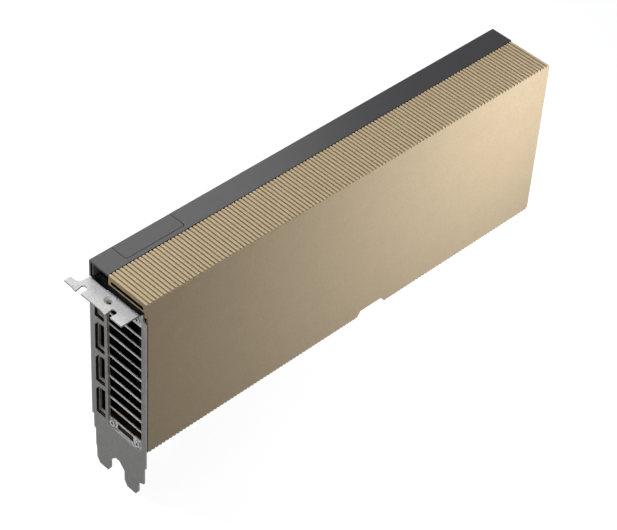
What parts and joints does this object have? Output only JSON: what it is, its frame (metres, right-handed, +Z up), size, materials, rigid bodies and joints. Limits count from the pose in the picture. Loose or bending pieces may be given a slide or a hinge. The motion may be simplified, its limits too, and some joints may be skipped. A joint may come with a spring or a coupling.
{
  "type": "passive accelerator card",
  "caption": "Full-height, double-width accelerator card without a fan: a ribbed gold cover over a finned heatsink, a vented bracket and an edge connector.",
  "frame": {"origin": "middle of the key notch at the bottom of the edge fingers, in the board's mid-plane", "axes": "+X along the card away from the bracket, +Z up away from the edge connector, -Y out of the gold face"},
  "size_m": [0.2777, 0.0443, 0.1299],
  "materials": {
    "bracket_steel": "matte nickel plate, fine grain",
    "grille_steel": "matte nickel plate",
    "screw_steel": "bright zinc plate",
    "board_laminate": "black solder mask",
    "contact_gold": "polished gold plate",
    "shroud_gold": "matte champagne gold, fine grain",
    "rail_black": "satin black anodised",
    "backplate_black": "matte black anodised",
    "frame_black": "matte black paint",
    "port_shell": "nickel plated",
    "port_block": "moulded",
    "copper": "machined copper",
    "chamber_nickel": "black nickel plate",
    "fin_black": "black anodised sheet",
    "chip_black": "moulded resin",
    "substrate_green": "laminate",
    "die_silicon": "polished silicon",
    "ring_steel": "nickel plate",
    "pad_grey": "soft thermal pad",
    "inductor_grey": "pressed powder",
    "capacitor_can": "bare can",
    "plug_black": "moulded",
    "spring_steel": "black nickel"
  },
  "bodies": {
    "root": {"backplate": "backplate_black", "backplate_screws": "screw_steel", "board_posts": "ring_steel", "board_standoffs": "ring_steel", "bracket": "bracket_steel", "bracket_screws": "screw_steel", "capacitors": "capacitor_can", "circuit_board": "board_laminate", "cold_block": "copper", "edge_contacts_back": "contact_gold", "edge_contacts_front": "contact_gold", "far_frame": "frame_black", "fin_stack": "fin_black", "grille_screws": "screw_steel", "hatch_cover": "rail_black", "inductor_1": "inductor_grey", "inductor_2": "inductor_grey", "inductor_3": "inductor_grey", "inductor_4": "inductor_grey", "inductor_5": "inductor_grey", "inductor_6": "inductor_grey", "inductor_pads": "pad_grey", "link_contacts": "contact_gold", "memory_chip_01": "chip_black", "memory_chip_02": "chip_black", "memory_chip_03": "chip_black", "memory_chip_04": "chip_black", "memory_chip_05": "chip_black", "memory_chip_06": "chip_black", "memory_chip_07": "chip_black", "memory_chip_08": "chip_black", "memory_chip_09": "chip_black", "memory_chip_10": "chip_black", "memory_chip_11": "chip_black", "memory_chip_12": "chip_black", "memory_pads": "pad_grey", "near_crossbar": "frame_black", "power_connector": "plug_black", "power_pins": "contact_gold", "power_stages": "chip_black", "processor_die": "die_silicon", "processor_ring": "ring_steel", "processor_substrate": "substrate_green", "shroud": "shroud_gold", "shroud_screws": "screw_steel", "spring_plate": "spring_steel", "spring_screws": "screw_steel", "top_rail": "rail_black", "vapour_chamber": "chamber_nickel", "vent_grille": "grille_steel", "video_port_insert_1": "port_block", "video_port_insert_2": "port_block", "video_port_insert_3": "port_block", "video_port_insert_4": "port_block", "video_port_shell_1": "port_shell", "video_port_shell_2": "port_shell", "video_port_shell_3": "port_shell", "video_port_shell_4": "port_shell"}
  },
  "joints": []
}
